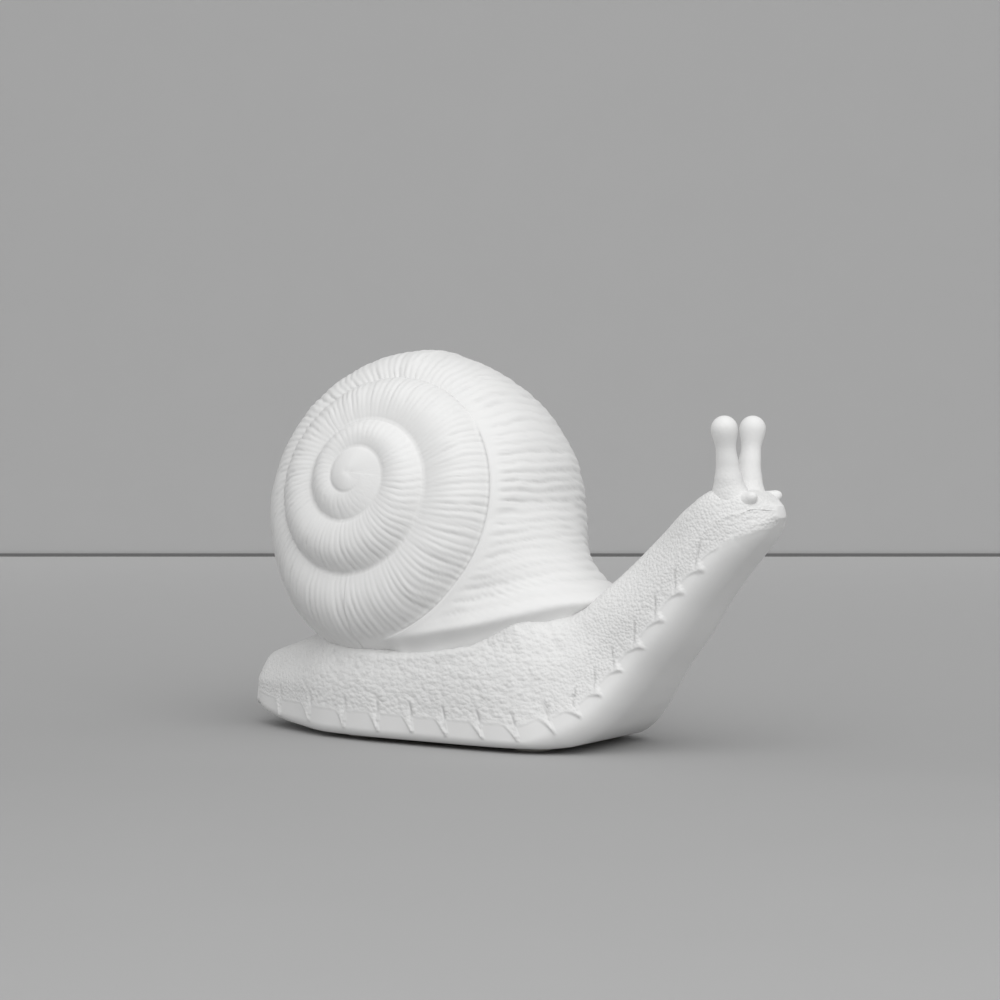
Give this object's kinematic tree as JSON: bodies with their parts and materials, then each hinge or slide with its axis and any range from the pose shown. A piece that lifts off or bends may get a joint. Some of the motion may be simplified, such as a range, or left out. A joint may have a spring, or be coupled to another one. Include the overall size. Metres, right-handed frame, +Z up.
{
  "type": "snail figurine",
  "caption": "Matt white cast figurine of a garden snail with a ribbed spiral shell, pleated skirt and raised eye stalks.",
  "frame": {"origin": "under the middle of the figurine's box, on the table that the pads rest on", "axes": "+X from the tail to the nose, +Y to the snail's left, +Z up"},
  "size_m": [0.273, 0.1203, 0.1767],
  "materials": {
    "cast_resin": "matte",
    "plate_board": "matte",
    "pad_felt": "matte",
    "core_wire": "satin",
    "dowel_wood": "matte"
  },
  "bodies": {
    "root": {"body_casting": "cast_resin", "shell_casting": "cast_resin", "eye_stalk_left": "cast_resin", "eye_stalk_right": "cast_resin", "base_plate": "plate_board", "stalk_core_left": "core_wire", "stalk_core_right": "core_wire", "shell_dowel_front": "dowel_wood", "shell_dowel_rear": "dowel_wood", "pad_front_left": "pad_felt", "pad_front_right": "pad_felt", "pad_rear_left": "pad_felt", "pad_rear_right": "pad_felt"}
  },
  "joints": []
}
